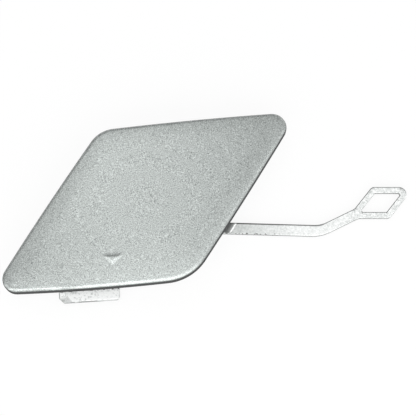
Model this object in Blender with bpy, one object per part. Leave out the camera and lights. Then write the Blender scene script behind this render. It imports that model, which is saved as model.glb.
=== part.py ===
# Bumper tow hook cover: a painted cap for the towing eye's hole, moulded in one piece with its
# retaining tongue, snap hooks and captive strap. Metres and degrees, +Z out of the painted face,
# +X towards the strap. It lies on the end of its rear frame, at Z = 0.
import math

import bmesh
import bpy
from mathutils import Matrix, Vector

# Outline of the face from the front, as if its corners were sharp
LOWER_EDGE = 0.0583
LOWER_SLOPE = 3.8
UPPER_EDGE = 0.0597
UPPER_SLOPE = 6.5
LEFT_EDGE = 0.0574
LEFT_LEAN = 58.1
LOWER_LEFT_RADIUS = 0.0042
LOWER_RIGHT_RADIUS = 0.0147
UPPER_RIGHT_RADIUS = 0.0042
UPPER_LEFT_RADIUS = 0.0104
LOWER_BOW = 0.0009
RIGHT_BOW = 0.0005
UPPER_BOW = 0.0001
LEFT_BOW = 0.0001

# Section of the face: a crown that follows the bumper, a soft border and a tight rolled edge
FACE_HEIGHT = 0.0120
CROWN_RADIUS_X = 0.420
CROWN_RADIUS_Y = 0.300
FACE_WALL = 0.0024
BORDER_WIDTH = 0.0070
BORDER_DROP = 0.0005
EDGE_ROUND = 0.0013
EDGE_ROUND_START = 10.0
EDGE_DEPTH = 0.0033
LIP_WIDTH = 0.0016
LIP_ROUND = 0.0003

# Frame behind the face, which passes through the bumper's opening
FRAME_INSET = 0.0045
FRAME_WALL = 0.0016
FRAME_DRAFT = 0.0002
FRAME_CORNER = 0.0025

# What grips the bumper: its skin lies between the rim and these
SKIN_GAP = 0.0030
TOE_STEP = 0.0001
HOOK_WIDTH = 0.0070
HOOK_REACH = 0.0014
HOOK_TIP = 0.0006
HOOK_TOE = 0.0004
HOOK_SLOT = 0.0010
HOOK_SLOT_ROOF = 0.0012
HOOK_SIDE_STEP = 0.0003
HOOK_STATIONS = (0.0205, 0.0475)
TONGUE_WIDTH = 0.0177
TONGUE_REACH = 0.0025
TONGUE_THICKNESS = 0.0018
TONGUE_STATION = 0.0281
TONGUE_CHAMFER = 0.0014
TONGUE_ROUND = 0.0011
TONGUE_NOSE = 0.0004
TONGUE_LEAD_WIDTH = 0.0045
TONGUE_LEAD_DROP = 0.0011
TONGUE_RIB = 0.0010
TONGUE_RIB_REACH = 0.0032
TONGUE_RIB_TOE = 0.0004
TONGUE_RIB_PITCH = 0.0070

# Stiffening webs between the frame and the back of the face
WEB_THICKNESS = 0.0010
WEB_DEPTH = 0.0026
LEFT_WEB_STATIONS = (0.0140, 0.0360)
RIGHT_WEB_STATIONS = (0.0110, 0.0380)

# Captive strap with the eye that hangs on a peg behind the bumper
STRAP_STATION = 0.0202
STRAP_DIRECTION = -1.7
STRAP_WIDTH = 0.0034
STRAP_NECK = 0.0031
STRAP_THICKNESS = 0.0015
STRAP_LIFT = 0.0003
STRAP_RUN = 0.0272
STRAP_BEND = 28.0
STRAP_BEND_RADIUS = 0.0040
STRAP_TAIL = 0.0088
STRAP_EDGE_ROUND = 0.00025
STRAP_JOIN_RADIUS = 0.0030
PAD_REACH = 0.0012
PAD_RISE = 0.0006
PAD_CHAMFER = 0.0005
PAD_SIDE_INSET = 0.0002
EYE_LENGTH = 0.0127
EYE_HEIGHT = 0.0096
EYE_LEAN = 51.5
EYE_BAND = 0.00185
EYE_ACUTE_RADIUS = 0.0022
EYE_OBTUSE_RADIUS = 0.0016
EYE_INNER_RADIUS = 0.0005

# Raised triangle that shows where to press
MARK_WIDTH = 0.0066
MARK_HEIGHT = 0.0030
MARK_RISE = 0.00045
MARK_SLOPE = 0.0007
MARK_CORNER = 0.0006
MARK_STATION = 0.0360
MARK_INSET = 0.0077

# How finely curves are divided, and how far joined shapes sink into each other
CORNER_STEPS = 8
SIDE_STEPS = 10
ROLL_STEPS = 5
BORDER_STEPS = 4
CENTRE_STEPS = 4
ARC_STEPS = 6
BEVEL_STEPS = 2
OVERLAP = 0.0006
LEAST_RADIUS = 0.0008
WELD = 0.000001

LOWER, RIGHT, UPPER, LEFT = range(4)
SIDE_BOWS = (LOWER_BOW, RIGHT_BOW, UPPER_BOW, LEFT_BOW)
CORNER_RADII = (LOWER_LEFT_RADIUS, LOWER_RIGHT_RADIUS, UPPER_RIGHT_RADIUS, UPPER_LEFT_RADIUS)


def towards(degrees):
    angle = math.radians(degrees)
    return Vector((math.cos(angle), math.sin(angle)))


def face_corners():
    """The sharp corners, counter-clockwise from the lower left, about their own middle."""
    lower_left = Vector((0.0, 0.0))
    lower_right = LOWER_EDGE * towards(LOWER_SLOPE)
    upper_left = LEFT_EDGE * towards(LEFT_LEAN)
    upper_right = upper_left + UPPER_EDGE * towards(UPPER_SLOPE)
    corners = [lower_left, lower_right, upper_right, upper_left]
    middle = sum(corners, Vector((0.0, 0.0))) / len(corners)
    return [corner - middle for corner in corners]


def side_arc(side):
    """Centre and radius of the shallow arc that one side follows."""
    corners = face_corners()
    start, end = corners[side], corners[(side + 1) % 4]
    length, bow = (end - start).length, SIDE_BOWS[side]
    radius = (length * length / 4 + bow * bow) / (2 * bow)
    along = (end - start).normalized()
    inward = Vector((-along.y, along.x))
    return (start + end) / 2 + inward * (radius - bow), radius


def circles_meet(centre_a, radius_a, centre_b, radius_b, near):
    """The point, of two, where circles cross that lies nearer to a third."""
    between = centre_b - centre_a
    span = between.length
    along = (radius_a**2 - radius_b**2 + span**2) / (2 * span)
    across = math.sqrt(radius_a**2 - along**2)
    foot = centre_a + between * (along / span)
    normal = Vector((-between.y, between.x)) / span
    return min((foot + normal * across, foot - normal * across), key=lambda p: (p - near).length)


def arc(centre, start, end, steps):
    """Points on the shorter arc about a centre, from start to end."""
    first, last = start - centre, end - centre
    sweep = math.atan2(first.x * last.y - first.y * last.x, first.dot(last))
    return [centre + Matrix.Rotation(sweep * i / steps, 2) @ first for i in range(steps + 1)]


def outline(inset, least_radius=LEAST_RADIUS):
    """The face's outline moved in by inset, with tangent arcs at the corners."""
    corners = face_corners()
    rounds = []
    for index, corner in enumerate(corners):
        centre_a, radius_a = side_arc((index - 1) % 4)
        centre_b, radius_b = side_arc(index)
        radius = max(CORNER_RADII[index] - inset, least_radius)
        reach_a, reach_b = radius_a - inset, radius_b - inset
        middle = circles_meet(centre_a, reach_a - radius, centre_b, reach_b - radius, corner)
        start = centre_a + (middle - centre_a).normalized() * reach_a
        end = centre_b + (middle - centre_b).normalized() * reach_b
        rounds.append((middle, start, end))
    points = []
    for index, (middle, start, end) in enumerate(rounds):
        points += arc(middle, start, end, CORNER_STEPS)
        next_start = rounds[(index + 1) % 4][1]
        points += arc(side_arc(index)[0], end, next_start, SIDE_STEPS)[1:-1]
    return points


def crown(point):
    return FACE_HEIGHT - point.x**2 / (2 * CROWN_RADIUS_X) - point.y**2 / (2 * CROWN_RADIUS_Y)


def face_top(point, inset):
    """Height of the painted surface above the frame's end, at a distance in from the outline."""
    share = max(0.0, 1 - inset / BORDER_WIDTH)
    return crown(point) - BORDER_DROP * share**2


def face_back(point, inset):
    return face_top(point, inset) - FACE_WALL


def rim(point):
    """Height of the rim's rear edge, which meets the bumper."""
    return crown(point) - BORDER_DROP - EDGE_DEPTH


def on_side(side, station, inset=0.0):
    """Point on a side, a distance along it from its first corner, with the way out and along."""
    corners = face_corners()
    start, end = corners[side], corners[(side + 1) % 4]
    centre, radius = side_arc(side)
    out = (start + (end - start).normalized() * station - centre).normalized()
    return centre + out * (radius - inset), out, Vector((-out.y, out.x))


def side_matrix(side, station, inset=0.0):
    """Places a shape on a side: its X points out of the cover, its Y along the side."""
    point, out, along = on_side(side, station, inset)
    matrix = Matrix.Identity(4)
    matrix.col[0] = (*out, 0, 0)
    matrix.col[1] = (*along, 0, 0)
    matrix.col[3] = (*point, 0, 1)
    return matrix


def add_ring(bm, points, height):
    """A ring of vertices. The height is one value or a function of the point."""
    level = height if callable(height) else lambda point: height
    return [bm.verts.new((point.x, point.y, level(point))) for point in points]


def skin(bm, lower, upper):
    """Quads between two rings of the same count."""
    for i in range(len(lower)):
        j = (i + 1) % len(lower)
        bm.faces.new((lower[i], lower[j], upper[j], upper[i]))


def fan(bm, ring, place, height):
    """Triangles from a ring to one vertex in its middle."""
    middle = bm.verts.new((place.x, place.y, height))
    for i in range(len(ring)):
        bm.faces.new((ring[i], ring[(i + 1) % len(ring)], middle))


def finish(bm, name):
    """Points the faces out and makes the mesh an object."""
    bmesh.ops.recalc_face_normals(bm, faces=bm.faces[:])
    mesh = bpy.data.meshes.new(name)
    bm.to_mesh(mesh)
    bm.free()
    made = bpy.data.objects.new(name, mesh)
    bpy.context.scene.collection.objects.link(made)
    return made


def extrude_plan(bm, points, low, high):
    """A prism on a closed outline. Returns its side faces' edges at both ends."""
    face = bm.faces.new([bm.verts.new((point[0], point[1], low)) for point in points])
    raised = bmesh.ops.extrude_face_region(bm, geom=[face])["geom"]
    lifted = [item for item in raised if isinstance(item, bmesh.types.BMVert)]
    bmesh.ops.translate(bm, verts=lifted, vec=(0, 0, high - low))
    return [e for e in bm.edges if abs(e.verts[0].co.z - e.verts[1].co.z) < (high - low) / 2]


def plan_prism(name, points, low, high, edge_round=0.0):
    """A flat piece with its upper and lower edges rounded."""
    bm = bmesh.new()
    rims = extrude_plan(bm, points, low, high)
    if edge_round:
        bmesh.ops.bevel(
            bm, geom=rims, offset=edge_round, segments=BEVEL_STEPS, profile=0.5, affect="EDGES"
        )
    return finish(bm, name)


def section_prism(name, section, width, matrix):
    """A section of (out, up) points, extruded along a side and centred on its place."""
    bm = bmesh.new()
    face = bm.faces.new([bm.verts.new((out, -width / 2, up)) for out, up in section])
    moved = bmesh.ops.extrude_face_region(bm, geom=[face])["geom"]
    verts = [item for item in moved if isinstance(item, bmesh.types.BMVert)]
    bmesh.ops.translate(bm, verts=verts, vec=(0, width, 0))
    bmesh.ops.transform(bm, matrix=matrix, verts=bm.verts[:])
    return finish(bm, name)


def filleted(corners):
    """A closed outline from (point, radius) pairs, each corner rounded by an arc."""
    points = []
    for index, (corner, radius) in enumerate(corners):
        if not radius:
            points.append(corner)
            continue
        before = (corners[index - 1][0] - corner).normalized()
        after = (corners[(index + 1) % len(corners)][0] - corner).normalized()
        half = before.angle(after) / 2
        centre = corner + (before + after).normalized() * (radius / math.sin(half))
        reach = radius / math.tan(half)
        points += arc(centre, corner + before * reach, corner + after * reach, ARC_STEPS)
    return points


def lines_meet(point_a, along_a, point_b, along_b):
    """Where two lines cross."""
    gap = point_b - point_a
    cross = along_a.x * along_b.y - along_a.y * along_b.x
    return point_a + along_a * ((gap.x * along_b.y - gap.y * along_b.x) / cross)


def combine(body, tool, operation="UNION"):
    """Joins or cuts the body with a shape, and removes that shape."""
    modifier = body.modifiers.new(operation.title(), "BOOLEAN")
    modifier.operation = operation
    modifier.solver = "EXACT"
    modifier.object = tool
    bpy.context.view_layer.update()
    graph = bpy.context.evaluated_depsgraph_get()
    bm = bmesh.new()
    bm.from_object(body, graph)
    body.modifiers.remove(modifier)
    bpy.data.objects.remove(tool)
    bmesh.ops.remove_doubles(bm, verts=bm.verts[:], dist=WELD)
    bmesh.ops.dissolve_degenerate(bm, edges=bm.edges[:], dist=WELD)
    bm.to_mesh(body.data)
    bm.free()


def face_shell():
    """The crowned face with its rolled edge and return lip, lofted through offset outlines."""
    bm = bmesh.new()
    start = math.radians(EDGE_ROUND_START)
    border_start = EDGE_ROUND * (1 - math.sin(start))
    back_border = max(BORDER_WIDTH, LIP_WIDTH + LEAST_RADIUS)

    def shrunk(points, share):
        return [point * share for point in points]

    shares = [1 - i / (CENTRE_STEPS + 1) for i in range(1, CENTRE_STEPS + 1)]
    border = outline(BORDER_WIDTH, EDGE_ROUND)
    rings = [add_ring(bm, shrunk(border, share), crown) for share in reversed(shares)]
    fan(bm, rings[0], Vector((0.0, 0.0)), FACE_HEIGHT)
    for i in range(BORDER_STEPS + 1):
        inset = BORDER_WIDTH + (border_start - BORDER_WIDTH) * i / BORDER_STEPS
        points = outline(inset, EDGE_ROUND)
        rings.append(add_ring(bm, points, lambda p, inset=inset: face_top(p, inset)))
    for i in range(1, ROLL_STEPS + 1):
        angle = start + (math.pi / 2 - start) * i / ROLL_STEPS
        fall = EDGE_ROUND * (math.cos(start) - math.cos(angle))
        points = outline(EDGE_ROUND * (1 - math.sin(angle)))
        rings.append(add_ring(bm, points, lambda p, fall=fall: face_top(p, border_start) - fall))
    for inset, rise in (
        (0.0, LIP_ROUND),
        (LIP_ROUND, 0.0),
        (LIP_WIDTH - LIP_ROUND, 0.0),
        (LIP_WIDTH, LIP_ROUND),
    ):
        rings.append(add_ring(bm, outline(inset), lambda p, rise=rise: rim(p) + rise))
    for inset in (LIP_WIDTH, (LIP_WIDTH + back_border) / 2, back_border):
        points = outline(inset)
        rings.append(add_ring(bm, points, lambda p, inset=inset: face_back(p, inset)))
    back = outline(back_border)
    for share in shares:
        points = shrunk(back, share)
        rings.append(add_ring(bm, points, lambda p: crown(p) - FACE_WALL))
    fan(bm, rings[-1], Vector((0.0, 0.0)), FACE_HEIGHT - FACE_WALL)
    for outer, inner in zip(rings, rings[1:]):
        skin(bm, outer, inner)
    return finish(bm, "tow_hook_cover")


def rear_frame():
    """The wall round the back, from the face down to its end: straight outside, tapered inside."""
    bm = bmesh.new()
    inner = FRAME_INSET + FRAME_WALL
    inner_corner = max(FRAME_CORNER - FRAME_WALL, LEAST_RADIUS)

    def top(inset):
        return lambda point: face_back(point, inset) + OVERLAP

    rings = [
        add_ring(bm, outline(FRAME_INSET, FRAME_CORNER), 0.0),
        add_ring(bm, outline(FRAME_INSET, FRAME_CORNER), top(FRAME_INSET)),
        add_ring(bm, outline(inner, inner_corner), top(inner)),
        add_ring(bm, outline(inner - FRAME_DRAFT, inner_corner), 0.0),
    ]
    for index, ring in enumerate(rings):
        skin(bm, ring, rings[(index + 1) % len(rings)])
    return finish(bm, "frame")


def cut_hook_slots(frame, station):
    """A slot at each side of a snap hook frees it from the frame."""
    point, _, _ = on_side(UPPER, station, FRAME_INSET + FRAME_WALL / 2)
    roof = face_back(point, FRAME_INSET) - HOOK_SLOT_ROOF
    half = FRAME_WALL / 2 + FRAME_WALL
    section = [(-half, -OVERLAP), (half, -OVERLAP), (half, roof), (-half, roof)]
    for way in (-1, 1):
        place = station + way * (HOOK_WIDTH + HOOK_SLOT) / 2
        matrix = side_matrix(UPPER, place, FRAME_INSET + FRAME_WALL / 2)
        combine(frame, section_prism("slot", section, HOOK_SLOT, matrix), "DIFFERENCE")


def snap_hook(station):
    """The barb on the hook: a flat catch, a blunt tip and a long lead-in."""
    edge, _, _ = on_side(UPPER, station)
    catch = rim(edge) - SKIN_GAP
    section = [
        (-OVERLAP, HOOK_TOE),
        (TOE_STEP, HOOK_TOE),
        (HOOK_REACH, catch - HOOK_TIP),
        (HOOK_REACH, catch),
        (-OVERLAP, catch),
    ]
    matrix = side_matrix(UPPER, station, FRAME_INSET)
    return section_prism("hook", section, HOOK_WIDTH - 2 * HOOK_SIDE_STEP, matrix)


def tongue_top():
    edge, _, _ = on_side(LOWER, TONGUE_STATION)
    return rim(edge) - SKIN_GAP


def tongue():
    """The rigid tongue that goes behind the bumper's skin, with a cut and a rounded corner."""
    root = -(FRAME_INSET + OVERLAP)
    half = TONGUE_WIDTH / 2
    corners = [
        (Vector((root, -half)), 0.0),
        (Vector((TONGUE_REACH - TONGUE_CHAMFER, -half)), 0.0),
        (Vector((TONGUE_REACH, TONGUE_CHAMFER - half)), 0.0),
        (Vector((TONGUE_REACH, half)), TONGUE_ROUND),
        (Vector((root, half)), 0.0),
    ]
    bm = bmesh.new()
    high = tongue_top()
    low = high - TONGUE_THICKNESS
    rims = extrude_plan(bm, filleted(corners), low, high)
    nose = [edge for edge in rims if min(v.co.x for v in edge.verts) > root + OVERLAP]
    bmesh.ops.bevel(
        bm, geom=nose, offset=TONGUE_NOSE, segments=BEVEL_STEPS, profile=0.5, affect="EDGES"
    )
    # the lead-in: the cut corner's upper face slopes down to the tip
    lead_start = Vector((TONGUE_REACH, TONGUE_LEAD_WIDTH - half, high))
    lead_end = Vector((TONGUE_REACH - TONGUE_LEAD_WIDTH, -half, high))
    tip = Vector((TONGUE_REACH, -half, high - TONGUE_LEAD_DROP))
    slope = (lead_end - lead_start).cross(tip - lead_start).normalized()
    if slope.z < 0:
        slope.negate()
    geometry = bm.verts[:] + bm.edges[:] + bm.faces[:]
    cut = bmesh.ops.bisect_plane(
        bm, geom=geometry, plane_co=lead_start, plane_no=slope, clear_outer=True
    )
    border = [item for item in cut["geom_cut"] if isinstance(item, bmesh.types.BMEdge)]
    bmesh.ops.contextual_create(bm, geom=border)
    bmesh.ops.transform(bm, matrix=side_matrix(LOWER, TONGUE_STATION), verts=bm.verts[:])
    return finish(bm, "tongue")


def tongue_ribs():
    """Ribs under the tongue, down the frame's wall."""
    under = tongue_top() - TONGUE_THICKNESS
    section = [
        (-OVERLAP, TONGUE_RIB_TOE),
        (TOE_STEP, TONGUE_RIB_TOE),
        (TONGUE_RIB_REACH, under),
        (TONGUE_RIB_REACH, under + OVERLAP),
        (-OVERLAP, under + OVERLAP),
    ]
    ribs = []
    for step in (-1, 0, 1):
        station = TONGUE_STATION + step * TONGUE_RIB_PITCH
        matrix = side_matrix(LOWER, station, FRAME_INSET)
        ribs.append(section_prism("rib", section, TONGUE_RIB, matrix))
    return ribs


def web(side, station):
    """A small triangle in the corner between the frame's wall and the face's back."""
    wall_foot, _, _ = on_side(side, station, FRAME_INSET)
    roof = face_back(wall_foot, FRAME_INSET)
    reach = FRAME_INSET - LIP_WIDTH
    section = [
        (-OVERLAP, roof - WEB_DEPTH),
        (0.0, roof - WEB_DEPTH),
        (reach, roof - OVERLAP),
        (reach, roof + OVERLAP),
        (-OVERLAP, roof + OVERLAP),
    ]
    return section_prism("web", section, WEB_THICKNESS, side_matrix(side, station, FRAME_INSET))


def strap_path():
    """Root, bend and end of the strap's centre line, in plan."""
    root, _, _ = on_side(RIGHT, STRAP_STATION)
    first = towards(STRAP_DIRECTION)
    second = towards(STRAP_DIRECTION + STRAP_BEND)
    bend = root + first * STRAP_RUN
    return root, bend, bend + second * STRAP_TAIL, first, second


def eye_corners(inset):
    """The eye's slanted outline, from its lower left acute corner, which ends the strap."""
    _, _, end, _, _ = strap_path()
    lean = towards(EYE_LEAN)
    level = Vector((1.0, 0.0))
    grown = inset / lean.y
    low, high = inset, EYE_HEIGHT - inset
    left = end + level * grown
    right = end + level * (EYE_LENGTH - grown)
    return [
        left + lean * (low / lean.y),
        right + lean * (low / lean.y),
        right + lean * (high / lean.y),
        left + lean * (high / lean.y),
    ]


def strap_edges(inset=0.0):
    """A point on each edge of the strap's first run: the lower, then the upper."""
    root, _, _, first, _ = strap_path()
    normal = Vector((-first.y, first.x)) * (STRAP_WIDTH / 2 - inset)
    return root - normal, root + normal


def strap():
    """The strap and its eye, cut from one outline with rounded edges."""
    root, bend, end, first, second = strap_path()
    wall, _, along = on_side(RIGHT, STRAP_STATION, FRAME_INSET + FRAME_WALL / 2)
    second_normal = Vector((-second.y, second.x)) * STRAP_NECK / 2
    lower, upper = strap_edges()
    eye = eye_corners(0.0)
    level = Vector((1.0, 0.0))
    lean = towards(EYE_LEAN)
    corners = [
        (lines_meet(lower, first, wall, along), 0.0),
        (lines_meet(lower, first, bend - second_normal, second), STRAP_BEND_RADIUS + STRAP_WIDTH),
        (lines_meet(bend - second_normal, second, end, level), STRAP_JOIN_RADIUS),
        (eye[1], EYE_OBTUSE_RADIUS),
        (eye[2], EYE_ACUTE_RADIUS),
        (eye[3], EYE_OBTUSE_RADIUS),
        (lines_meet(bend + second_normal, second, end, lean), STRAP_JOIN_RADIUS),
        (lines_meet(upper, first, bend + second_normal, second), STRAP_BEND_RADIUS),
        (lines_meet(upper, first, wall, along), 0.0),
    ]
    low, high = STRAP_LIFT, STRAP_LIFT + STRAP_THICKNESS
    made = plan_prism("strap", filleted(corners), low, high, STRAP_EDGE_ROUND)
    hole = filleted([(corner, EYE_INNER_RADIUS) for corner in eye_corners(EYE_BAND)])
    combine(made, plan_prism("eye", hole, low - OVERLAP, high + OVERLAP), "DIFFERENCE")
    return made


def strap_pad():
    """The strap's thicker root, which ends in a chamfer parallel to the cover's edge."""
    _, _, _, first, _ = strap_path()
    lower, upper = strap_edges(PAD_SIDE_INSET)
    wall, _, along = on_side(RIGHT, STRAP_STATION, FRAME_INSET + FRAME_WALL / 2)
    foot, _, _ = on_side(RIGHT, STRAP_STATION, -PAD_REACH)
    crest, _, _ = on_side(RIGHT, STRAP_STATION, PAD_CHAMFER - PAD_REACH)
    sole = STRAP_LIFT + STRAP_THICKNESS / 2
    top = STRAP_LIFT + STRAP_THICKNESS + PAD_RISE
    bm = bmesh.new()
    rings = []
    for end, height in ((foot, sole), (foot, top - PAD_CHAMFER), (crest, top)):
        ring = [
            lines_meet(lower, first, wall, along),
            lines_meet(lower, first, end, along),
            lines_meet(upper, first, end, along),
            lines_meet(upper, first, wall, along),
        ]
        rings.append(add_ring(bm, ring, height))
    bm.faces.new(rings[0])
    for low, high in zip(rings, rings[1:]):
        skin(bm, low, high)
    bm.faces.new(rings[-1])
    return finish(bm, "pad")


def press_mark():
    """The raised triangle, apex down, with sloping sides that follow the face."""
    place, out, along = on_side(LOWER, MARK_STATION, MARK_INSET)
    half, up = MARK_WIDTH / 2, MARK_HEIGHT / 2
    bm = bmesh.new()

    def triangle(shrink):
        """Corners moved in so that each side comes in by shrink."""
        flank = math.atan2(MARK_HEIGHT, half)
        top = up - shrink
        apex = -up + shrink / math.cos(flank)
        reach = (top - apex) / math.tan(flank)
        radius = max(MARK_CORNER - shrink / 2, MARK_CORNER / 4)
        local = ((0.0, apex), (reach, top), (-reach, top))
        placed = [(place + along * x - out * y, radius) for x, y in local]
        return filleted(placed)

    sunk = OVERLAP * MARK_SLOPE / MARK_RISE
    low = add_ring(bm, triangle(-sunk), lambda p: crown(p) - OVERLAP)
    high = add_ring(bm, triangle(MARK_SLOPE), lambda p: crown(p) + MARK_RISE)
    skin(bm, low, high)
    fan(bm, low, place, crown(place) - OVERLAP)
    fan(bm, high, place, crown(place) + MARK_RISE)
    return finish(bm, "mark")


def silver_paint():
    material = bpy.data.materials.new("silver_paint")
    material.use_nodes = True
    shader = material.node_tree.nodes["Principled BSDF"]
    shader.inputs["Base Color"].default_value = (0.53, 0.56, 0.55, 1.0)
    shader.inputs["Metallic"].default_value = 0.7
    shader.inputs["Roughness"].default_value = 0.35
    return material


def stand_on_origin(body):
    """Moves the cover so that the middle of its box is over the origin. It already rests on Z = 0."""
    spans = list(zip(*(vertex.co for vertex in body.data.vertices)))
    middle = [(min(span) + max(span)) / 2 for span in spans[:2]]
    body.data.transform(Matrix.Translation((-middle[0], -middle[1], 0.0)))


def main():
    for obj in list(bpy.data.objects):
        bpy.data.objects.remove(obj)
    frame = rear_frame()
    for station in HOOK_STATIONS:
        cut_hook_slots(frame, station)
        combine(frame, snap_hook(station))
    cover = face_shell()
    combine(cover, press_mark())
    combine(cover, frame)
    for side, stations in ((LEFT, LEFT_WEB_STATIONS), (RIGHT, RIGHT_WEB_STATIONS)):
        for station in stations:
            combine(cover, web(side, station))
    combine(cover, tongue())
    for rib in tongue_ribs():
        combine(cover, rib)
    combine(cover, strap_pad())
    combine(cover, strap())
    stand_on_origin(cover)
    cover.data.materials.clear()
    cover.data.materials.append(silver_paint())
    cover.data.shade_smooth()
    cover.data.set_sharp_from_angle(angle=math.radians(30))


main()
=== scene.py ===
import math

import bpy
from mathutils import Matrix, Vector


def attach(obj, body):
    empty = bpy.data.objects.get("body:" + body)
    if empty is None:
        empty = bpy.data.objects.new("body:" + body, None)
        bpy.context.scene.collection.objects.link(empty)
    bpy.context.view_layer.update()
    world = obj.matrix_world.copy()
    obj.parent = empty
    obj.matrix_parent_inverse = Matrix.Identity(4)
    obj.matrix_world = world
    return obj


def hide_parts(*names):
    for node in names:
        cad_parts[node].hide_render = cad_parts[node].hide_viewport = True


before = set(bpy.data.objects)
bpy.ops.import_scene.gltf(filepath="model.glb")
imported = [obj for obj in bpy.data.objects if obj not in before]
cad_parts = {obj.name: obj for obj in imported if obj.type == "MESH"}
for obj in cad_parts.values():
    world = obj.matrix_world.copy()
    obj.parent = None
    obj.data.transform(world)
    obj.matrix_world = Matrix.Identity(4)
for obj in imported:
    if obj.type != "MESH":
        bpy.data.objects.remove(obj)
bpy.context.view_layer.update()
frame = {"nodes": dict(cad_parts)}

print("frame loaded:", ", ".join(frame["nodes"]))

# sides of the face, counter-clockwise from the tongue's side
lower, right, upper, left = range(4)

cover = {
    "middle": (-0.018200852, 0.000721677),  # the face's own middle in the part's frame
    "lowerEdge": 0.0583, "lowerSlope": 3.8,
    "upperEdge": 0.0597, "upperSlope": 6.5,
    "leftEdge": 0.0574, "leftLean": 58.1,
    "corners": (0.0042, 0.0147, 0.0042, 0.0088),  # lower left, lower right, upper right, upper left
    "leastCorner": 0.0008,
    "bows": (0.0009, 0.0005, 0.0001, 0.0001),  # one for each side
    "height": 0.0120,
    "crownX": 0.420, "crownY": 0.300,
    "wall": 0.0024,
    "border": 0.0070, "borderDrop": 0.0005,
    "roll": 0.0013, "rollStart": 10.0,
    "depth": 0.0033,
    "lip": 0.0016, "lipRound": 0.0003, "backRound": 0.0004,
    "cornerSteps": 22, "sideSteps": 40,
    # rows of faces, from the crown's middle round to the back's
    "crownRows": 14, "borderRows": 16, "rollRows": 12, "lipRows": 4, "backRows": 6, "innerRows": 8,
}
samePlace = 1e-6  # points closer than this are one
edgeRows = 3  # rows of faces round a softened edge


# plan geometry, in metres about the face's middle

def heading(degrees):
    angle = math.radians(degrees)
    return Vector((math.cos(angle), math.sin(angle)))


def leftOf(way):
    return Vector((-way.y, way.x))


def faceCorners():
    lowerRight = cover["lowerEdge"] * heading(cover["lowerSlope"])
    upperLeft = cover["leftEdge"] * heading(cover["leftLean"])
    upperRight = upperLeft + cover["upperEdge"] * heading(cover["upperSlope"])
    found = [Vector((0, 0)), lowerRight, upperRight, upperLeft]
    middle = sum(found, Vector((0, 0))) / 4
    return [corner - middle for corner in found]


def sideArc(side):
    corners = faceCorners()
    start, end = corners[side], corners[(side + 1) % 4]
    length, bow = (end - start).length, cover["bows"][side]
    radius = (length * length / 4 + bow * bow) / (2 * bow)
    along = (end - start).normalized()
    return (start + end) / 2 + leftOf(along) * (radius - bow), radius


def circlesMeet(centreA, radiusA, centreB, radiusB, near):
    between = centreB - centreA
    span = between.length
    along = (radiusA**2 - radiusB**2 + span**2) / (2 * span)
    across = math.sqrt(radiusA**2 - along**2)
    foot = centreA + between * (along / span)
    normal = leftOf(between) / span
    return min((foot + normal * across, foot - normal * across), key=lambda p: (p - near).length)


def arcPoints(centre, start, end, steps):
    first, last = start - centre, end - centre
    sweep = math.atan2(first.x * last.y - first.y * last.x, first.dot(last))
    return [centre + Matrix.Rotation(sweep * i / steps, 2) @ first for i in range(steps + 1)]


def faceOutline(inset, leastRadius=cover["leastCorner"]):
    rounds = []
    for index, corner in enumerate(faceCorners()):
        centreA, radiusA = sideArc((index - 1) % 4)
        centreB, radiusB = sideArc(index)
        radius = max(cover["corners"][index] - inset, leastRadius)
        reachA, reachB = radiusA - inset, radiusB - inset
        middle = circlesMeet(centreA, reachA - radius, centreB, reachB - radius, corner)
        rounds.append((
            middle,
            centreA + (middle - centreA).normalized() * reachA,
            centreB + (middle - centreB).normalized() * reachB,
        ))
    points = []
    for index, (middle, start, end) in enumerate(rounds):
        points += arcPoints(middle, start, end, cover["cornerSteps"])
        nextStart = rounds[(index + 1) % 4][1]
        points += arcPoints(sideArc(index)[0], end, nextStart, cover["sideSteps"])[1:-1]
    return points


def crownAt(point):
    drop = point.x**2 / (2 * cover["crownX"]) + point.y**2 / (2 * cover["crownY"])
    return cover["height"] - drop


def topAt(point, inset):
    share = max(0.0, 1 - inset / cover["border"])
    return crownAt(point) - cover["borderDrop"] * share**2


def backAt(point, inset):
    return topAt(point, inset) - cover["wall"]


def rimAt(point):
    return crownAt(point) - cover["borderDrop"] - cover["depth"]


def onSide(side, station, inset=0.0):
    corners = faceCorners()
    start, end = corners[side], corners[(side + 1) % 4]
    centre, radius = sideArc(side)
    out = (start + (end - start).normalized() * station - centre).normalized()
    return centre + out * (radius - inset), out, leftOf(out)


def sideMatrix(side, station, inset=0.0):
    point, out, along = onSide(side, station, inset)
    matrix = Matrix.Identity(4)
    matrix.col[0] = (*out, 0, 0)
    matrix.col[1] = (*along, 0, 0)
    matrix.col[3] = (*point, 0, 1)
    return matrix


def filleted(corners, steps=10):
    points = []
    for index, (corner, radius) in enumerate(corners):
        if not radius:
            points.append(corner)
            continue
        before = (corners[index - 1][0] - corner).normalized()
        after = (corners[(index + 1) % len(corners)][0] - corner).normalized()
        half = before.angle(after) / 2
        centre = corner + (before + after).normalized() * (radius / math.sin(half))
        reach = radius / math.tan(half)
        points += arcPoints(centre, corner + before * reach, corner + after * reach, steps)
    return points


def linesMeet(pointA, alongA, pointB, alongB):
    gap = pointB - pointA
    cross = alongA.x * alongB.y - alongA.y * alongB.x
    return pointA + alongA * ((gap.x * alongB.y - gap.y * alongB.x) / cross)


def movedIn(points, inset, leastCosine=0.3):
    moved = []  # each point slides along the bisector of its two edges
    for i, point in enumerate(points):
        before = (point - points[i - 1]).normalized()
        after = (points[(i + 1) % len(points)] - point).normalized()
        bisector = (leftOf(before) + leftOf(after)).normalized()
        moved.append(point + bisector * (inset / max(leastCosine, bisector.dot(leftOf(before)))))
    return moved


def ringAt(points, height):
    level = height if callable(height) else lambda point: height
    return [Vector((point.x, point.y, level(point))) for point in points]


def arcRange(start, end, steps):
    return [math.radians(start + (end - start) * i / steps) for i in range(steps + 1)]


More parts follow.
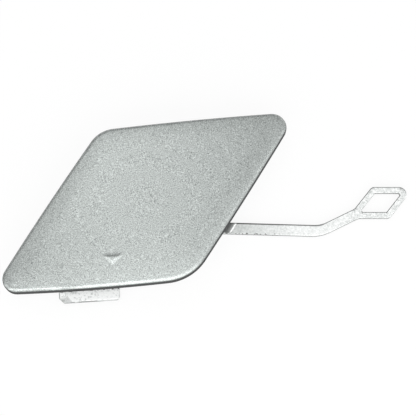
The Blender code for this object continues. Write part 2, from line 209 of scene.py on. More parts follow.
def quarterRound(radius, start, end, rows):
    # for each row of a rounded edge, how far it lies inside the wall and inside the end
    return [(radius * (1 - math.sin(angle)), radius * (1 - math.cos(angle))) for angle in arcRange(start, end, rows)]


def plateRings(outline, low, high, edge, rows, way=1):
    # the wall of a flat plate with rounded edges, from its lower face to its upper one
    rings = [ringAt(movedIn(outline, way * inward), low + rise) for inward, rise in quarterRound(edge, 0, 90, rows)]
    rings += [ringAt(movedIn(outline, way * inward), high - fall) for inward, fall in quarterRound(edge, 90, 0, rows)]
    return rings


# modelling

def deselectAll():
    if bpy.context.object and bpy.context.object.mode != "OBJECT":
        bpy.ops.object.mode_set(mode="OBJECT")
    bpy.ops.object.select_all(action="DESELECT")


def makeActive(piece):
    deselectAll()
    piece.select_set(True)
    bpy.context.view_layer.objects.active = piece


def editAll():
    bpy.ops.object.mode_set(mode="EDIT")
    bpy.ops.mesh.select_mode(type="VERT")
    bpy.ops.mesh.select_all(action="SELECT")


def softened(offset, rows=edgeRows):
    editAll()
    bpy.ops.mesh.bevel(offset=offset, segments=rows, affect="EDGES")
    bpy.ops.object.mode_set(mode="OBJECT")


def selectVerts(piece, test):
    makeActive(piece)
    bpy.ops.object.mode_set(mode="EDIT")
    bpy.ops.mesh.select_mode(type="VERT")
    bpy.ops.mesh.select_all(action="DESELECT")
    bpy.ops.object.mode_set(mode="OBJECT")
    for vertex in piece.data.vertices:
        vertex.select = test(vertex.co)
    bpy.ops.object.mode_set(mode="EDIT")


def pointOut(piece):
    makeActive(piece)
    editAll()
    bpy.ops.mesh.remove_doubles(threshold=samePlace)
    bpy.ops.mesh.normals_make_consistent(inside=False)
    bpy.ops.object.mode_set(mode="OBJECT")


def wrapped(name, rings, fillEnds=False):
    # a grid wrapped round the outline: its columns run round and its rows follow the section
    columns = len(rings[0])
    deselectAll()
    bpy.ops.mesh.primitive_grid_add(x_subdivisions=columns, y_subdivisions=len(rings) - 1)
    piece = bpy.context.object
    piece.name = name
    for row, ring in enumerate(rings):
        for column in range(columns + 1):
            piece.data.vertices[row * (columns + 1) + column].co = ring[column % columns]
    pointOut(piece)
    if fillEnds:
        editAll()
        bpy.ops.mesh.fill_holes(sides=0)
        bpy.ops.mesh.select_all(action="SELECT")
        bpy.ops.mesh.normals_make_consistent(inside=False)
        bpy.ops.object.mode_set(mode="OBJECT")
    return piece


def sectionPiece(name, section, width, matrix, edgeRound):
    # a section of (out, up) points, extruded along the side and softened
    deselectAll()
    bpy.ops.mesh.primitive_circle_add(vertices=len(section), fill_type="NGON")
    piece = bpy.context.object
    piece.name = name
    for vertex, (out, up) in zip(piece.data.vertices, section):
        vertex.co = (out, -width / 2, up)
    editAll()
    bpy.ops.mesh.extrude_region_move(TRANSFORM_OT_translate={"value": (0, width, 0)})
    softened(edgeRound)
    pointOut(piece)
    piece.matrix_world = matrix
    return piece


def joined(name, parts):
    deselectAll()
    for part in parts:
        part.select_set(True)
    bpy.context.view_layer.objects.active = parts[0]
    bpy.ops.object.join()
    parts[0].name = parts[0].data.name = name
    return parts[0]


def cutWith(piece, cutter):
    makeActive(piece)
    cut = piece.modifiers.new("cut", "BOOLEAN")
    cut.operation = "DIFFERENCE"
    cut.solver = "EXACT"
    cut.object = cutter
    bpy.ops.object.modifier_apply(modifier=cut.name)
    bpy.data.objects.remove(cutter)


def settled(piece, sharpAngle=32):
    # moves the piece from the face's middle to the part's frame and gives it its shading
    makeActive(piece)
    bpy.ops.object.transform_apply(location=True, rotation=True, scale=True)
    bpy.ops.transform.translate(value=(*cover["middle"], 0))
    bpy.ops.object.transform_apply(location=True, rotation=True, scale=True)
    bpy.ops.object.shade_smooth_by_angle(angle=math.radians(sharpAngle))
    weighted = piece.modifiers.new("weighted", "WEIGHTED_NORMAL")
    weighted.keep_sharp = True
    bpy.ops.object.modifier_apply(modifier=weighted.name)


# face: crown, soft border, rolled edge, return lip and back, as one closed shell
rollStart = math.radians(cover["rollStart"])
borderStart = cover["roll"] * (1 - math.sin(rollStart))
lip, backStart = cover["lip"], cover["lip"] + cover["backRound"]
rings = []
flat = faceOutline(cover["border"], cover["roll"])
for i in range(cover["crownRows"]):
    rings.append(ringAt([p * (i / cover["crownRows"]) for p in flat], crownAt))
for i in range(cover["borderRows"] + 1):
    inset = cover["border"] + (borderStart - cover["border"]) * i / cover["borderRows"]
    rings.append(ringAt(faceOutline(inset, cover["roll"]), lambda p: topAt(p, inset)))
for angle in arcRange(cover["rollStart"], 90, cover["rollRows"])[1:]:
    fall = cover["roll"] * (math.cos(rollStart) - math.cos(angle))
    rings.append(ringAt(faceOutline(cover["roll"] * (1 - math.sin(angle))), lambda p: topAt(p, borderStart) - fall))
for inward, rise in quarterRound(cover["lipRound"], 90, 0, cover["lipRows"]):
    rings.append(ringAt(faceOutline(inward), lambda p: rimAt(p) + rise))
for inward, rise in quarterRound(cover["lipRound"], 0, 90, cover["lipRows"]):
    rings.append(ringAt(faceOutline(lip - inward), lambda p: rimAt(p) + rise))
for inward, fall in quarterRound(cover["backRound"], 90, 0, cover["lipRows"]):
    rings.append(ringAt(faceOutline(lip + inward), lambda p: backAt(p, lip + inward) - fall))
for i in range(1, cover["backRows"] + 1):
    inset = backStart + (cover["border"] - backStart) * i / cover["backRows"]
    rings.append(ringAt(faceOutline(inset), lambda p: backAt(p, inset)))
back = faceOutline(cover["border"])
for i in range(1, cover["innerRows"] + 1):
    rings.append(ringAt([p * (1 - i / cover["innerRows"]) for p in back], lambda p: crownAt(p) - cover["wall"]))
faceShell = wrapped("faceShell", rings)

# round marks of the mould's ejector pins, on the back
pins = {
    "spots": ((-0.0215, -0.0075), (-0.0005, -0.0085), (0.0015, 0.0085), (0.0205, 0.0080)),
    "radius": 0.0023, "stand": 0.00012, "depth": 0.0012, "edge": 0.00006, "sides": 48, "edgeRows": 2,
}
pinMarks = []
for spot in pins["spots"]:
    middle = Vector((*spot, crownAt(Vector(spot)) - cover["wall"] - pins["stand"] + pins["depth"] / 2))
    tilt = Vector((spot[0] / cover["crownX"], spot[1] / cover["crownY"], 1)).to_track_quat("Z", "Y").to_euler()
    deselectAll()
    bpy.ops.mesh.primitive_cylinder_add(
        vertices=pins["sides"], radius=pins["radius"], depth=pins["depth"], location=middle, rotation=tilt)
    softened(pins["edge"], pins["edgeRows"])
    pinMarks.append(bpy.context.object)
face = joined("face", [faceShell, *pinMarks])
print("face:", len(face.data.polygons), "faces")

# press mark: a raised triangle, apex towards the tongue, with soft edges under the paint
mark = {
    "width": 0.0063, "height": 0.00305, "corner": 0.0004, "cornerSteps": 8, "station": 0.0360, "inset": 0.00777,
    "turn": -2.5, "upperFlank": 1.4,  # it stands nearly level, and its upper flank is longer than the others
    # how far in, and how high
    "profile": ((-0.0006, -0.0004), (-0.00015, 0.0), (0.00003, 0.00003), (0.0002, 0.00012), (0.0004, 0.00025),
                (0.00057, 0.00037), (0.00066, 0.00042), (0.00074, 0.000445), (0.00082, 0.00045)),
}
markSpot, out, along = onSide(lower, mark["station"], mark["inset"])
turn = Matrix.Rotation(math.radians(mark["turn"]), 2)
out, along = turn @ out, turn @ along
flank = math.atan2(mark["height"], mark["width"] / 2)


def markTriangle(shrink):
    top = mark["height"] / 2 - shrink * mark["upperFlank"]
    apex = -mark["height"] / 2 + shrink / math.cos(flank)
    reach = (top - apex) / math.tan(flank)
    radius = max(mark["corner"] - shrink / 2, mark["corner"] / 4)  # the corners tighten towards the top
    corners = [markSpot + along * x - out * y for x, y in ((0, apex), (reach, top), (-reach, top))]
    return filleted([(corner, radius) for corner in corners], mark["cornerSteps"])


outlines = [(markTriangle(shrink), rise) for shrink, rise in mark["profile"]]
middle = [markSpot] * len(outlines[0][0])
outlines = [(middle, outlines[0][1]), *outlines, (middle, outlines[-1][1])]
pressMark = wrapped("pressMark", [ringAt(points, lambda p: crownAt(p) + rise) for points, rise in outlines])
print("press mark:", len(pressMark.data.polygons), "faces")

# rear frame: the wall that passes through the bumper, with two snap hooks and four webs
rear = {
    "inset": 0.0045, "wall": 0.0016, "draft": 0.0002, "corner": 0.0025, "footRound": 0.0002, "footRows": 3,
    "skinGap": 0.0030, "toeStep": 0.0001,
    "hookStations": (0.0205, 0.0475), "hookWidth": 0.0070, "hookReach": 0.0014, "hookTip": 0.0006,
    "hookToe": 0.0004, "hookRound": 0.00012, "sideStep": 0.0003,
    "slot": 0.0010, "slotRoof": 0.0012, "cutReach": 0.0048, "cutBelow": 0.0010,
    "webs": ((left, 0.0140), (left, 0.0360), (right, 0.0110), (right, 0.0380)),
    "webThick": 0.0010, "webDepth": 0.0026, "webRound": 0.0001,
    "sink": 0.0006,  # how far each form starts inside the one that it stands on
}
inner, midWall = rear["inset"] + rear["wall"], rear["inset"] + rear["wall"] / 2
innerCorner = max(rear["corner"] - rear["wall"], cover["leastCorner"])
rings = []
for inward, rise in quarterRound(rear["footRound"], 0, 90, rear["footRows"]):
    rings.append(ringAt(faceOutline(rear["inset"] + inward, rear["corner"]), rise))
rings.append(ringAt(faceOutline(rear["inset"], rear["corner"]), lambda p: backAt(p, rear["inset"]) + rear["sink"]))
rings.append(ringAt(faceOutline(inner, innerCorner), lambda p: backAt(p, inner) + rear["sink"]))
for inward, rise in quarterRound(rear["footRound"], 90, 0, rear["footRows"]):
    rings.append(ringAt(faceOutline(inner - rear["draft"] - inward, innerCorner), rise))
rings.append(rings[0])
rearWall = wrapped("rearWall", rings)
hooks = []
for station in rear["hookStations"]:
    roof = backAt(onSide(upper, station, midWall)[0], rear["inset"]) - rear["slotRoof"]
    cutHeight = roof + rear["cutBelow"]
    for way in (-1, 1):
        spot, out, _ = onSide(upper, station + way * (rear["hookWidth"] + rear["slot"]) / 2, midWall)
        deselectAll()
        bpy.ops.mesh.primitive_cube_add(
            size=1, location=(spot.x, spot.y, roof - cutHeight / 2), rotation=(0, 0, math.atan2(out.y, out.x)),
            scale=(rear["cutReach"], rear["slot"], cutHeight))
        cutWith(rearWall, bpy.context.object)
    catch = rimAt(onSide(upper, station)[0]) - rear["skinGap"]
    section = [(-rear["sink"], rear["hookToe"]), (rear["toeStep"], rear["hookToe"]),
               (rear["hookReach"], catch - rear["hookTip"]), (rear["hookReach"], catch), (-rear["sink"], catch)]
    hooks.append(sectionPiece("hook", section, rear["hookWidth"] - 2 * rear["sideStep"],
                              sideMatrix(upper, station, rear["inset"]), rear["hookRound"]))
webs = []
reach, sink = rear["inset"] - cover["lip"], rear["sink"]
for side, station in rear["webs"]:
    roof = backAt(onSide(side, station, rear["inset"])[0], rear["inset"])
    foot = roof - rear["webDepth"]
    section = [(-sink, foot), (0, foot), (reach, roof - sink), (reach, roof + sink), (-sink, roof + sink)]
    matrix = sideMatrix(side, station, rear["inset"])
    webs.append(sectionPiece("web", section, rear["webThick"], matrix, rear["webRound"]))
rearFrame = joined("rearFrame", [rearWall, *hooks, *webs])
print("rear frame:", len(rearFrame.data.polygons), "faces")

# tongue: rigid, with a cut corner, a lead-in and three ribs underneath
tongueSizes = {
    "width": 0.0177, "reach": 0.0025, "thick": 0.0018, "station": 0.0281,
    "cut": 0.0014, "cutRound": 0.0004, "round": 0.0011, "nose": 0.0004, "noseRows": 5,
    "leadWidth": 0.0045, "leadDrop": 0.0011,
    "rib": 0.0010, "ribReach": 0.0032, "ribToe": 0.0004, "ribPitch": 0.0070, "ribRound": 0.0001,
}
root, half, reach = -(rear["inset"] + rear["sink"]), tongueSizes["width"] / 2, tongueSizes["reach"]
plan = filleted([
    (Vector((root, -half)), 0),
    (Vector((reach - tongueSizes["cut"], -half)), tongueSizes["cutRound"]),
    (Vector((reach, tongueSizes["cut"] - half)), tongueSizes["cutRound"]),
    (Vector((reach, half)), tongueSizes["round"]),
    (Vector((root, half)), 0),
])
high = rimAt(onSide(lower, tongueSizes["station"])[0]) - rear["skinGap"]
low = high - tongueSizes["thick"]
tongue = wrapped("tongue", plateRings(plan, low, high, tongueSizes["nose"], tongueSizes["noseRows"]), fillEnds=True)
leadStart = Vector((reach, tongueSizes["leadWidth"] - half, high))
leadEnd = Vector((reach - tongueSizes["leadWidth"], -half, high))
tip = Vector((reach, -half, high - tongueSizes["leadDrop"]))
slope = (leadEnd - leadStart).cross(tip - leadStart).normalized()
slope = slope if slope.z > 0 else -slope
makeActive(tongue)
editAll()
bpy.ops.mesh.bisect(plane_co=leadStart, plane_no=slope, use_fill=True, clear_outer=True)
bpy.ops.object.mode_set(mode="OBJECT")
tongue.matrix_world = sideMatrix(lower, tongueSizes["station"])
ribs = []
section = [(-sink, tongueSizes["ribToe"]), (rear["toeStep"], tongueSizes["ribToe"]), (tongueSizes["ribReach"], low),
           (tongueSizes["ribReach"], low + sink), (-sink, low + sink)]
for step in (-1, 0, 1):
    matrix = sideMatrix(lower, tongueSizes["station"] + step * tongueSizes["ribPitch"], rear["inset"])
    ribs.append(sectionPiece("rib", section, tongueSizes["rib"], matrix, tongueSizes["ribRound"]))
tongue = joined("tongue", [tongue, *ribs])
print("tongue:", len(tongue.data.polygons), "faces")

# strap: captive, bent once, with a slanted eye and a thicker root
strapSizes = {
    "station": 0.0202, "direction": -1.7, "width": 0.0034, "neck": 0.0031, "thick": 0.0015, "lift": 0.0003,
    "run": 0.0272, "bend": 28.0, "bendRadius": 0.0085, "tail": 0.0088, "joinRadius": 0.0030,
    "edgeRound": 0.00025, "edgeRows": 4, "roundSteps": 14,
    "padReach": 0.0012, "padRise": 0.0006, "padChamfer": 0.0005, "padInset": 0.0002, "padRound": 0.00009,
    "eyeLength": 0.0127, "eyeHeight": 0.0096, "eyeLean": 51.5, "eyeBand": 0.00185,
    "acute": 0.0022, "obtuse": 0.0016, "holeRadius": 0.0005, "holeSteps": 8,
}
root = onSide(right, strapSizes["station"])[0]
wall, _, along = onSide(right, strapSizes["station"], midWall)
first, second = heading(strapSizes["direction"]), heading(strapSizes["direction"] + strapSizes["bend"])
bend = root + first * strapSizes["run"]
end = bend + second * strapSizes["tail"]
level, lean = Vector((1, 0)), heading(strapSizes["eyeLean"])
firstNormal = leftOf(first) * strapSizes["width"] / 2
secondNormal = leftOf(second) * strapSizes["neck"] / 2
bendRadius, outerRadius = strapSizes["bendRadius"], strapSizes["bendRadius"] + strapSizes["width"]


def eyeCorners(inset):
    low, high = inset / lean.y, (strapSizes["eyeHeight"] - inset) / lean.y
    nearSide, farSide = end + level * low, end + level * (strapSizes["eyeLength"] - low)
    return [nearSide + lean * low, farSide + lean * low, farSide + lean * high, nearSide + lean * high]


eye = eyeCorners(0)
plan = filleted([
    (linesMeet(root - firstNormal, first, wall, along), 0),
    (linesMeet(root - firstNormal, first, bend - secondNormal, second), outerRadius),
    (linesMeet(bend - secondNormal, second, end, level), strapSizes["joinRadius"]),
    (eye[1], strapSizes["obtuse"]), (eye[2], strapSizes["acute"]), (eye[3], strapSizes["obtuse"]),
    (linesMeet(bend + secondNormal, second, end, lean), strapSizes["joinRadius"]),
    (linesMeet(root + firstNormal, first, bend + secondNormal, second), bendRadius),
    (linesMeet(root + firstNormal, first, wall, along), 0),
], strapSizes["roundSteps"])
holeCorners = [(corner, strapSizes["holeRadius"]) for corner in eyeCorners(strapSizes["eyeBand"])]
hole = filleted(holeCorners, strapSizes["holeSteps"])
low, high = strapSizes["lift"], strapSizes["lift"] + strapSizes["thick"]
walls = []
for loop, way in ((plan, 1), (hole, -1)):
    rings = plateRings(loop, low, high, strapSizes["edgeRound"], strapSizes["edgeRows"], way)
    walls.append(wrapped("strapWall", rings))
strap = joined("strap", walls)
for height in (low, high):
    selectVerts(strap, lambda co: abs(co.z - height) < samePlace)
    bpy.ops.mesh.fill(use_beauty=True)  # the band between the outline and the hole
    bpy.ops.object.mode_set(mode="OBJECT")
pointOut(strap)
padNormal = leftOf(first) * (strapSizes["width"] / 2 - strapSizes["padInset"])
foot = onSide(right, strapSizes["station"], -strapSizes["padReach"])[0]
crest = onSide(right, strapSizes["station"], strapSizes["padChamfer"] - strapSizes["padReach"])[0]
sole, top = low + strapSizes["thick"] / 2, high + strapSizes["padRise"]
rings = []
for far, height in ((foot, sole), (foot, top - strapSizes["padChamfer"]), (crest, top)):
    corners = ((-1, wall), (-1, far), (1, far), (1, wall))
    rings.append(ringAt([linesMeet(root + way * padNormal, first, spot, along) for way, spot in corners], height))
pad = wrapped("pad", rings, fillEnds=True)
softened(strapSizes["padRound"])
strap = joined("strap", [strap, pad])
print("strap:", len(strap.data.polygons), "faces")


# shader maths

class Wire:
    def __init__(self, tree, socket=None):
        self.tree, self.socket = tree, socket

    def feed(self, node, sockets):
        for name, value in sockets.items():
            if isinstance(value, Wire):
                self.tree.links.new(value.socket, node.inputs[name])
            else:
                node.inputs[name].default_value = value

    def node(self, kind, settings=None, sockets=None, output=0):
        made = self.tree.nodes.new(kind)
        for name, value in (settings or {}).items():
            setattr(made, name, value)
        self.feed(made, sockets or {})
        return Wire(self.tree, made.outputs[output])

    def out(self, name):
        return Wire(self.tree, self.socket.node.outputs[name])

    def math(self, operation, *values):
        return self.node("ShaderNodeMath", {"operation": operation}, dict(enumerate(values)))

    def __add__(self, other):
        return self.math("ADD", self, other)

    def __radd__(self, other):
        return self.math("ADD", other, self)

    def __sub__(self, other):
        return self.math("SUBTRACT", self, other)

    def __rsub__(self, other):
        return self.math("SUBTRACT", other, self)

    def __mul__(self, other):
        return self.math("MULTIPLY", self, other)

    def __rmul__(self, other):
        return self.math("MULTIPLY", other, self)

    def clamped(self):
        return self.node("ShaderNodeClamp", {}, {"Value": self})

    def step(self, low, high):
        return self.node("ShaderNodeMapRange", {"interpolation_type": "SMOOTHSTEP"},
                         {"Value": self, "From Min": low, "From Max": high, "To Min": 0, "To Max": 1})

    def between(self, start, end):
        return self.step(*start) * (1 - self.step(*end))

    def mixed(self, colourA, colourB):
        # self is the factor between the two colours
        return self.node("ShaderNodeMix", {"data_type": "RGBA"}, {0: self, 6: colourA, 7: colourB}, 2)

    def parts(self):
        # gives the X output, and out("Y") and out("Z") of it give the others
        return self.node("ShaderNodeSeparateXYZ", {}, {0: self})

    def noise(self, scale, detail=2.0, roughness=0.5):
        return self.node("ShaderNodeTexNoise", {"noise_dimensions": "3D"},
                         {"Vector": self, "Scale": scale, "Detail": detail, "Roughness": roughness})

    def patches(self, scale, low, high):
        return self.noise(scale, detail=1.0).step(low, high)

    def distance(self, start, way):
        # how far this place lies from the start, measured along one way
        reach = self.node("ShaderNodeVectorMath", {"operation": "DOT_PRODUCT"}, {0: self, 1: (*way, 0)}, "Value")
        return reach - start.dot(way)

    def facing(self, x, y):
        # self is a normal's parts
        return self * x + self.out("Y") * y

    def bump(self, strength, distance, under=None):
        sockets = {"Strength": strength, "Distance": distance, "Height": self}
        return self.node("ShaderNodeBump", {}, {**sockets, "Normal": under} if under else sockets)


def newMaterial(name):
    material = bpy.data.materials.new(name)
    material.use_nodes = True
    return material, material.node_tree.nodes["Principled BSDF"], Wire(material.node_tree)


def placeAndNormal(wire):
    # what the masks are made from
    normal = wire.node("ShaderNodeNewGeometry", output="Normal")
    return wire.node("ShaderNodeTexCoord", output="Object"), normal.parts()


def colour(red, green, blue):
    return (red, green, blue, 1)


# lacquer: silver flake under a clear coat, bare moulding behind; the skirt is painted dark as shade, and the rolled
# edges carry painted highlight and shade
lacquer = {
    "dark": (0.10, 0.108, 0.105), "light": (0.79, 0.84, 0.82), "skirtShade": (0.030, 0.032, 0.0315),
    "behindDark": (0.34, 0.35, 0.345), "behindLight": (0.46, 0.47, 0.465),
    "flake": 3700.0, "flakeContrast": 1.6, "patch": 55.0, "patchContrast": 0.10, "middle": 0.485,
    "driftFlake": 0.7, "driftPatch": 0.9,
    "metallic": 0.7, "roughness": 0.40, "skirtRoughness": 0.4, "coat": 0.25, "coatRoughness": 0.12,
    "flakeBump": (0.06, 0.0001), "peelBump": (0.22, 0.0003), "peel": 420.0,
    # how far up a surface faces where the skirt's painted shade gives way to the lacquer, where it lies behind, and
    # on the rolled edge
    "painted": (0.32, 0.74), "behind": (0.3, 0.7), "edgeStart": (0.40, 0.60), "edgeEnd": (0.955, 0.9975),
    # ways that the edges face, and how far they face them where they get painted highlight or painted shade
    "nearWay": (0.25, -0.9), "near": (0.02, 0.30), "far": (0.02, 0.60),
    "asideWay": (0.85, -0.5), "leftRim": (0.25, 0.55), "borderStart": (0.08, 0.20), "borderEnd": (0.25, 0.45),
    "rightWay": (1.0, 0.8), "rightRim": (0.06, 0.22), "rightLoss": 0.8,
    "edgeGain": 0.22, "borderSheenGain": 0.09,
    "streak": (140.0, 1500.0, 300.0), "streakPatch": (0.47, 0.54), "streakRim": (0.05, 0.25),
    "streakEnd": (-0.040, -0.026), "highlightGapDepth": 1.15,
}
silverLacquer, shader, wire = newMaterial("silverLacquer")
place, normal = placeAndNormal(wire)
flakes = place.noise(lacquer["flake"], detail=1.5, roughness=0.6)
drifts = place.noise(lacquer["patch"])
up = normal.out("Z")
# painted highlight on rolled edges that face the tongue's side, towards the front lamp, and painted shade on edges
# that face away or to the left
near, aside = normal.facing(*lacquer["nearWay"]), normal.facing(*lacquer["asideWay"])
edgeShade = wire.math("MAXIMUM", (0 - near).step(*lacquer["far"]), (0 - aside).step(*lacquer["leftRim"]))
rightRim = normal.facing(*lacquer["rightWay"]).step(*lacquer["rightRim"])
thick = near.step(*lacquer["near"]) * (1 - rightRim * lacquer["rightLoss"])  # painted highlight, with less of it on the right edge
# streaks on the lower left edge that break up the painted highlight
streaks = wire.node("ShaderNodeMapping", {}, {"Vector": place, "Scale": lacquer["streak"]})
highlightGaps = streaks.noise(1.0).step(*lacquer["streakPatch"]) * (1 - place.parts().step(*lacquer["streakEnd"]))
highlightGaps = highlightGaps * near.step(*lacquer["streakRim"])
rolled = up.between(lacquer["edgeStart"], lacquer["edgeEnd"]) * (thick - edgeShade - highlightGaps * lacquer["highlightGapDepth"])
border = aside.between(lacquer["borderStart"], lacquer["borderEnd"])  # painted sheen on the soft border on the right
grain = (flakes - 0.5) * lacquer["flakeContrast"] + (drifts - 0.5) * lacquer["patchContrast"] + lacquer["middle"]
grain = grain + rolled * lacquer["edgeGain"] + border * lacquer["borderSheenGain"]
tone = grain.clamped().mixed(colour(*lacquer["dark"]), colour(*lacquer["light"]))
# the skirt is painted near black, as shade; it also has no metal or coat there, and is rougher
painted = up.step(*lacquer["painted"])
tone = painted.mixed(colour(*lacquer["skirtShade"]), tone)
bare = ((drifts - 0.5) * lacquer["driftPatch"] + (flakes - 0.5) * lacquer["driftFlake"] + 0.5).clamped()
bare = bare.mixed(colour(*lacquer["behindDark"]), colour(*lacquer["behindLight"]))
peel = place.noise(lacquer["peel"], detail=1.0)
wire.feed(shader, {
    "Base Color": (0 - up).step(*lacquer["behind"]).mixed(tone, bare),
    "Normal": peel.bump(*lacquer["peelBump"], flakes.bump(*lacquer["flakeBump"])),
    "Metallic": lacquer["metallic"] * painted,
    "Roughness": lacquer["roughness"] + lacquer["skirtRoughness"] * (1 - painted),
    "Coat Weight": lacquer["coat"] * painted, "Coat Roughness": lacquer["coatRoughness"],
})

# where the tongue and the strap start, and the ways that they run, in the part's frame
faceMiddle = Vector(cover["middle"])
tongueSpot, tongueOut, tongueAlong = onSide(lower, tongueSizes["station"])
strapSpot, strapOut, _ = onSide(right, strapSizes["station"])
tongueSpot, strapSpot = tongueSpot + faceMiddle, strapSpot + faceMiddle
strapRun = heading(strapSizes["direction"])
strapTail = heading(strapSizes["direction"] + strapSizes["bend"])
strapTurn = strapSpot + strapRun * strapSizes["run"]


# overspray: a thin dry coat over pale plastic, on the strap, the tongue and the frame
spray = {"flakeRoughness": 0.6, "flakeBump": (0.1, 0.0001), "underside": (-0.35, 0.0)}


def overspray(name, sizes):
    material, shader, wire = newMaterial(name)
    place, normal = placeAndNormal(wire)
    flakes = place.noise(sizes["flake"], roughness=spray["flakeRoughness"])
    blotches = place.noise(sizes["blotch"])
    spot, up = place.parts(), normal.out("Z")
    grain = (flakes - 0.5) * sizes["contrast"] + (blotches - 0.5) * sizes["blotchContrast"]
    if "rougher" in sizes:  # the strap's root and eye took the spray in coarser specks
        ends = 1 - spot.step(*sizes["rootEnd"]) + spot.step(*sizes["eyeStart"])
        pale = spot.between(sizes["paleStart"], sizes["eyeStart"])
        grain = grain * (1 + ends * sizes["rougher"]) + pale * sizes["paleGain"]
    grain = (grain + 0.5 + sizes["lift"]).clamped()
    if "rootFade" in sizes:  # the strap is painted darker near the cover, as the cover's shade
        grain = grain * (sizes["rootShare"] + (1 - sizes["rootShare"]) * spot.step(*sizes["rootFade"]))
    tone = grain.mixed(colour(*sizes["dark"]), colour(*sizes["light"]))
    edge, above = colour(*sizes["edge"]), up.step(*spray["underside"])  # above: 0 on the underside
    if "paleEdge" in sizes:  # the tongue's painted edge shade is lighter on its right side, which faces the side lamp, and in patches
        patches = place.patches(*sizes["palePatches"]) * above
        pale = wire.math("MAXIMUM", normal.step(*sizes["paleSide"]), patches * sizes["palePatchShare"])
        edge = pale.mixed(edge, colour(*sizes["paleEdge"]))
    # walls and rounded edges are painted a darker edge colour, as shade
    tone = up.step(*sizes["edgeSpan"]).mixed(edge, tone)
    if "farEdgeShade" in sizes:  # painted shade: a thin dark line on the far edge, which faces away from the front lamp
        line = normal.out("Y").step(*sizes["farEdgeOut"]) * up.step(*sizes["farEdgeUp"])
        tone = line.mixed(tone, colour(*sizes["farEdgeShade"]))
    if "shadeStart" in sizes:  # painted shade in patches close under the rim
        away = place.distance(tongueSpot, tongueOut)
        underRimShade = away.between(sizes["shadeStart"], sizes["shadeEnd"]) * up.step(*sizes["shadeTop"])
        tone = (underRimShade * place.patches(*sizes["shadePatches"])).mixed(tone, colour(*sizes["shadeTone"]))
        # painted shade on its left side and cut corner
        side = place.distance(tongueSpot, tongueAlong)
        leadIn = (0 - normal).step(*sizes["leadSide"]) * away.step(*sizes["leadShadeReach"]) * sizes["leadShare"]
        shadedSide = wire.math("MAXIMUM", 1 - side.step(*sizes["sideLine"]), leadIn)
        tone = (shadedSide * sizes["sideShade"]).mixed(tone, colour(*sizes["edge"]))
    if "padTopShade" in sizes:  # painted shade on the thicker root, darkest next to the cover, and a painted highlight on its chamfer
        fade = place.distance(strapSpot, strapOut).step(*sizes["padFade"])
        top = fade.mixed(colour(*sizes["padRootShade"]), colour(*sizes["padTopShade"]))
        top = normal.step(*sizes["padChamfer"]).mixed(top, colour(*sizes["light"]))
        tone = spot.out("Z").step(*sizes["padLevel"]).mixed(tone, top)
    if "farLine" in sizes:  # painted shade: a dark line along the strap's far edge as far as the bend, strongest near the cover
        across = place.distance(strapSpot, leftOf(strapRun))
        onward = place.distance(strapTurn, leftOf(strapTail)) - strapSizes["neck"] / 2
        along, beyond = place.distance(strapSpot, strapRun), place.distance(strapTurn, strapTail)
        rim = wire.math("SMOOTH_MIN", across - strapSizes["width"] / 2, onward, sizes["farLineMerge"])
        line = rim.step(*sizes["farLine"]) * above * (1 - beyond.step(*sizes["farLineEnd"]))
        line = line * (1 - along.step(*sizes["farLineRun"]) * sizes["farLineLoss"])
        tone = line.mixed(tone, colour(*sizes["farLineShade"]))
        # dark specks along the near edge, close to the cover
        band = above * (1 - (across + strapSizes["width"] / 2).step(*sizes["speckBand"]))
        specks = band * place.patches(*sizes["specks"]) * (1 - along.step(*sizes["speckEnd"]))
        tone = specks.mixed(tone, colour(*sizes["speckTone"]))
    wire.feed(shader, {
        "Base Color": tone, "Normal": flakes.bump(*spray["flakeBump"]),
        "Metallic": sizes["metallic"], "Roughness": sizes["roughness"],
    })
    return material


strapSpray = overspray("strapSpray", {
    "dark": (0.55, 0.575, 0.565), "light": (0.985, 1.0, 0.993), "edge": (0.34, 0.35, 0.347), "edgeSpan": (0.15, 0.75),
    "flake": 1900.0, "contrast": 1.5, "blotch": 600.0, "blotchContrast": 0.5, "lift": 0.04,
    "metallic": 0.1, "roughness": 0.45,
    "rougher": 0.8, "rootEnd": (0.010, 0.018), "eyeStart": (0.038, 0.046), "paleStart": (0.020, 0.027),
    "paleGain": 0.15, "rootFade": (0.012, 0.026), "rootShare": 0.55,
    "farEdgeShade": (0.11, 0.114, 0.112), "farEdgeOut": (0.0, 0.18), "farEdgeUp": (0.10, 0.30),
    "padTopShade": (0.36, 0.37, 0.365), "padRootShade": (0.15, 0.156, 0.153), "padFade": (-0.0003, 0.0005),
    "padLevel": (0.00188, 0.00194), "padChamfer": (0.35, 0.6),
    "farLine": (-0.00058, -0.00028), "farLineShade": (0.02, 0.021, 0.021), "farLineMerge": 0.0012,
    "farLineRun": (0.0, 0.024), "farLineLoss": 0.30, "farLineEnd": (0.0005, 0.0030),
    "speckBand": (0.00030, 0.00050), "speckEnd": (0.013, 0.016), "specks": (1500.0, 0.53, 0.60),
    "speckTone": (0.10, 0.104, 0.102),
})
tongueSpray = overspray("tongueSpray", {
    "dark": (0.36, 0.385, 0.375), "light": (0.985, 1.0, 0.993), "edge": (0.20, 0.21, 0.206), "edgeSpan": (0.50, 0.96),
    "flake": 1500.0, "contrast": 3.4, "blotch": 560.0, "blotchContrast": 1.8, "lift": 0.56,
    "metallic": 0.0, "roughness": 0.5,
    "paleEdge": (0.72, 0.74, 0.73), "paleSide": (0.25, 0.7),
    "palePatches": (450.0, 0.50, 0.58), "palePatchShare": 0.6,
    "shadeStart": (-0.0014, -0.0011), "shadeEnd": (-0.0007, -0.0004), "shadeTop": (0.5, 0.8),
    "shadePatches": (900.0, 0.47, 0.56), "shadeTone": (0.08, 0.084, 0.082),
    "sideLine": (-0.0087, -0.0084), "leadSide": (0.10, 0.20), "leadShadeReach": (0.0004, 0.0014), "leadShare": 0.60,
    "sideShade": 0.8,
})
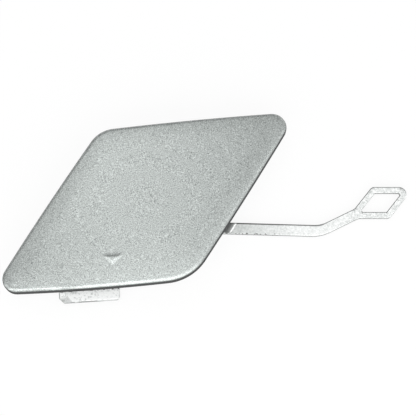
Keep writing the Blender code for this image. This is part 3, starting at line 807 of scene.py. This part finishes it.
frameSpray = overspray("frameSpray", {
    "dark": (0.34, 0.35, 0.345), "light": (0.62, 0.63, 0.625), "edge": (0.42, 0.43, 0.425), "edgeSpan": (0.15, 0.75),
    "flake": 1200.0, "contrast": 1.2, "blotch": 200.0, "blotchContrast": 0.4, "lift": 0.0,
    "metallic": 0.1, "roughness": 0.5,
})

for piece, finish in ((face, silverLacquer), (pressMark, silverLacquer), (rearFrame, frameSpray),
                      (tongue, tongueSpray), (strap, strapSpray)):
    settled(piece)
    piece.data.materials.clear()
    piece.data.materials.append(finish)
    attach(piece, "root")
    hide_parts("tow_hook_cover")
print("finishes on")

# studio
studio = {
    "cameraAt": (-0.000071, -0.088522, 0.334854), "tilt": 15.0, "lens": 100.0, "sensor": 36.0, "clip": (0.01, 20.0),
    "floorSize": 6.0, "floorTone": (0.96, 0.96, 0.96), "floorRoughness": 0.9, "floorLift": 0.90,
    "skyLow": 0.29, "skyRise": 0.40, "backdropTop": (0.12, 0.25),
    "aim": (-0.018, 0.0, 0.0),  # what the lamps point at
    # name: where it stands, its width and height, and its watts
    "lamps": {
        "frontKey": ((-0.06, -0.92, 0.60), (2.7, 0.90), 13.2),
        "overhead": ((-0.17, 0.48, 0.95), (0.40, 0.50), 0.90),
        "cameraSide": ((-0.12, -0.14, 1.03), (0.50, 0.66), 1.20),
        "sideStrip": ((0.80, -0.05, 0.66), (0.30, 0.8), 1.0),
    },
}
plainWhite = colour(1, 1, 1)


def shownWhite(wire):
    # 1 where the backdrop itself is seen, straight or in a reflection
    rays = wire.node("ShaderNodeLightPath")
    seen = wire.math("MAXIMUM", rays.out("Is Camera Ray"), rays.out("Is Glossy Ray"))
    return wire.math("MAXIMUM", seen, rays.out("Is Transmission Ray"))


deselectAll()
bpy.ops.mesh.primitive_plane_add(size=studio["floorSize"], location=(0, 0, 0))
floor = bpy.context.object
floor.name = "floor"
material, shader, wire = newMaterial("paleFloor")
wire.feed(shader, {
    "Base Color": colour(*studio["floorTone"]), "Roughness": studio["floorRoughness"], "Specular IOR Level": 0.0,
})
white = wire.node("ShaderNodeEmission", {}, {"Color": plainWhite, "Strength": 1.0})
lit = Wire(wire.tree, shader.outputs[0])
shown = wire.node("ShaderNodeMixShader", {}, {0: shownWhite(wire) * studio["floorLift"], 1: lit, 2: white})
wire.feed(wire.tree.nodes["Material Output"], {"Surface": shown})
floor.data.materials.append(material)

world = bpy.data.worlds.new("studio")
bpy.context.scene.world = world
world.use_nodes = True
wire = Wire(world.node_tree)
height = wire.node("ShaderNodeTexCoord", output="Generated").parts().out("Z")
sky = studio["skyLow"] + studio["skyRise"] * height.clamped()
strength = sky + (1 - sky) * shownWhite(wire) * (1 - height.step(*studio["backdropTop"]))
wire.feed(world.node_tree.nodes["Background"], {"Color": plainWhite, "Strength": strength})

for name, (spot, size, watts) in studio["lamps"].items():
    deselectAll()
    turn = (Vector(spot) - Vector(studio["aim"])).to_track_quat("Z", "Y").to_euler()
    bpy.ops.object.light_add(type="AREA", location=spot, rotation=turn)
    lamp = bpy.context.object
    lamp.name = name
    lamp.data.shape = "RECTANGLE"
    lamp.data.size, lamp.data.size_y = size
    lamp.data.energy = watts

bpy.ops.object.camera_add(location=studio["cameraAt"], rotation=(math.radians(studio["tilt"]), 0, 0))
camera = bpy.context.object
camera.data.lens, camera.data.sensor_width = studio["lens"], studio["sensor"]
camera.data.clip_start, camera.data.clip_end = studio["clip"]
bpy.context.scene.camera = camera
bpy.context.scene.view_settings.view_transform = "Standard"
print("studio set")
